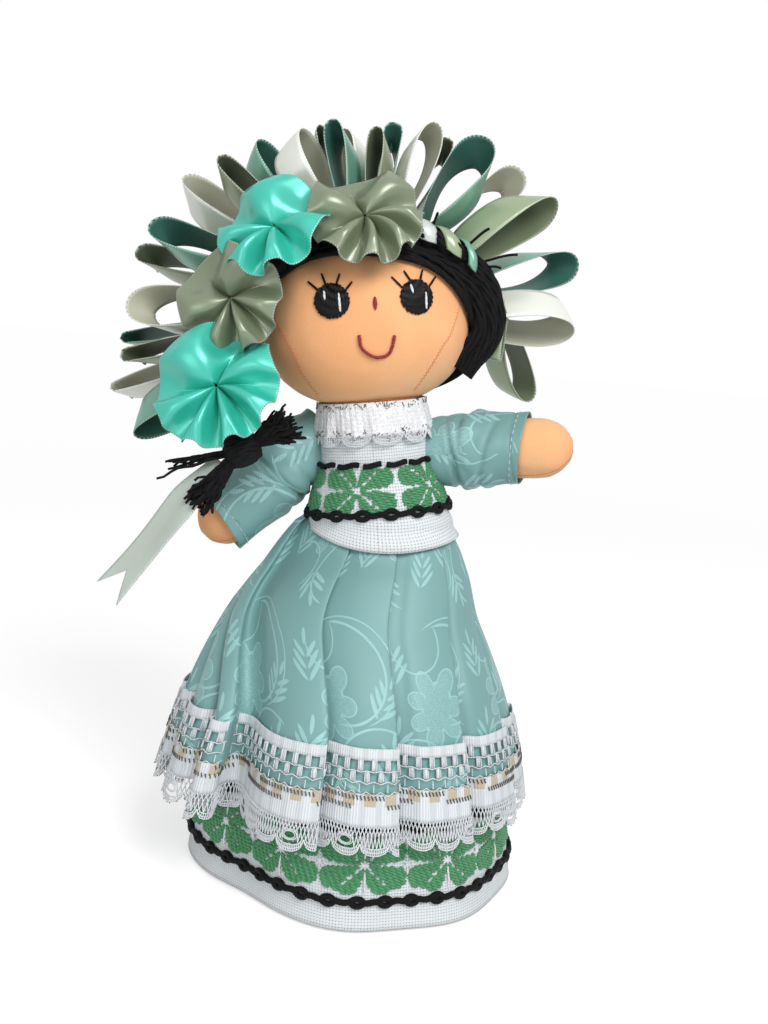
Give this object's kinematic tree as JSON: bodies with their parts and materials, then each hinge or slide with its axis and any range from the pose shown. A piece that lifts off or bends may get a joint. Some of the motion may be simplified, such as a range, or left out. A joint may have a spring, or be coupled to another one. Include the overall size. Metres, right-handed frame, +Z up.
{
  "type": "rag doll",
  "caption": "Standing stuffed cloth doll in a brocade skirt over a stitched underskirt, with a braid and a headdress of ribbon loops and rosettes.",
  "frame": {"origin": "on the ground under the middle of the doll's bounding box", "axes": "+Z up, the doll's face towards -Y, its left hand towards +X"},
  "size_m": [0.1954, 0.1578, 0.315],
  "materials": {
    "skin": "woven peach cotton",
    "black_felt": "felt",
    "black_thread": "stranded thread",
    "red_thread": "stranded thread",
    "white_cloth": "open even-weave cotton",
    "lace": "cotton lace with silver thread",
    "brocade": "satin brocade",
    "lining": "plain cotton",
    "black_yarn": "wool yarn",
    "ribbon_cream": "satin ribbon",
    "ribbon_olive": "satin ribbon",
    "ribbon_green": "satin ribbon",
    "ribbon_teal": "satin ribbon",
    "ribbon_sage": "satin ribbon"
  },
  "bodies": {
    "torso": {"torso": "skin", "bodice": "white_cloth", "collar_lace": "lace", "bodice_chain_upper": "black_thread", "bodice_chain_lower": "black_thread", "overskirt": "brocade", "skirt_lace": "lace", "underskirt": "white_cloth", "underskirt_lining": "lining", "skirt_chain_lower": "black_thread", "skirt_chain_upper": "black_thread"},
    "head": {"head": "skin", "eye_left": "black_thread", "eye_right": "black_thread", "nose": "red_thread", "mouth": "red_thread", "hair_cap": "black_yarn", "crown_braid": "black_yarn", "rosette_top_left": "ribbon_teal", "rosette_top_centre": "ribbon_sage", "rosette_side": "ribbon_sage", "ribbon_loop_01": "ribbon_green", "ribbon_loop_02": "ribbon_cream", "ribbon_loop_03": "ribbon_olive", "ribbon_loop_04": "ribbon_green", "ribbon_loop_05": "ribbon_cream", "ribbon_loop_06": "ribbon_olive", "ribbon_loop_07": "ribbon_green", "ribbon_loop_08": "ribbon_cream", "ribbon_loop_09": "ribbon_olive", "ribbon_loop_10": "ribbon_green", "ribbon_loop_11": "ribbon_cream", "ribbon_loop_12": "ribbon_olive", "ribbon_loop_13": "ribbon_green", "ribbon_loop_14": "ribbon_cream", "ribbon_loop_15": "ribbon_olive", "ribbon_loop_16": "ribbon_green", "ribbon_loop_17": "ribbon_cream", "ribbon_loop_18": "ribbon_olive", "ribbon_loop_19": "ribbon_green", "ribbon_loop_20": "ribbon_cream", "ribbon_loop_21": "ribbon_olive", "ribbon_loop_22": "ribbon_green", "ribbon_loop_23": "ribbon_cream", "ribbon_loop_24": "ribbon_olive"},
    "braid": {"side_braid": "black_yarn", "tassel_upper": "black_yarn", "tassel_lower": "black_yarn", "braid_ribbon_tail": "ribbon_cream", "rosette_braid": "ribbon_teal"},
    "arm_left": {"arm_left": "skin", "sleeve_left": "brocade"},
    "arm_right": {"arm_right": "skin", "sleeve_right": "brocade"},
    "leg_left": {"leg_left": "skin", "shoe_left": "black_felt"},
    "leg_right": {"leg_right": "skin", "shoe_right": "black_felt"}
  },
  "joints": [
    {"name": "head_turn", "type": "hinge", "parent": "torso", "child": "head", "pos_m": [0.01249, 0, 0.19946], "axis": [-0.1564, 0, 0.9877], "range_deg": [-5, 8]},
    {"name": "arm_left_raise", "type": "hinge", "parent": "torso", "child": "arm_left", "pos_m": [0.05166, 0.002, 0.18222], "axis": [0, -1, 0], "range_deg": [-45, 20]},
    {"name": "arm_right_raise", "type": "hinge", "parent": "torso", "child": "arm_right", "pos_m": [-0.01945, 0.002, 0.17096], "axis": [0, 1, 0], "range_deg": [-12, 30]},
    {"name": "leg_left_swing", "type": "hinge", "parent": "torso", "child": "leg_left", "pos_m": [0.03627, 0, 0.112], "axis": [1, 0, 0], "range_deg": [-12, 12]},
    {"name": "leg_right_swing", "type": "hinge", "parent": "torso", "child": "leg_right", "pos_m": [0.00627, 0, 0.112], "axis": [1, 0, 0], "range_deg": [-12, 12]},
    {"name": "braid_swing", "type": "hinge", "parent": "head", "child": "braid", "pos_m": [-0.04106, -0.01866, 0.23098], "axis": [-0.1375, 0.9903, -0.0218], "range_deg": [-6, 6]}
  ]
}
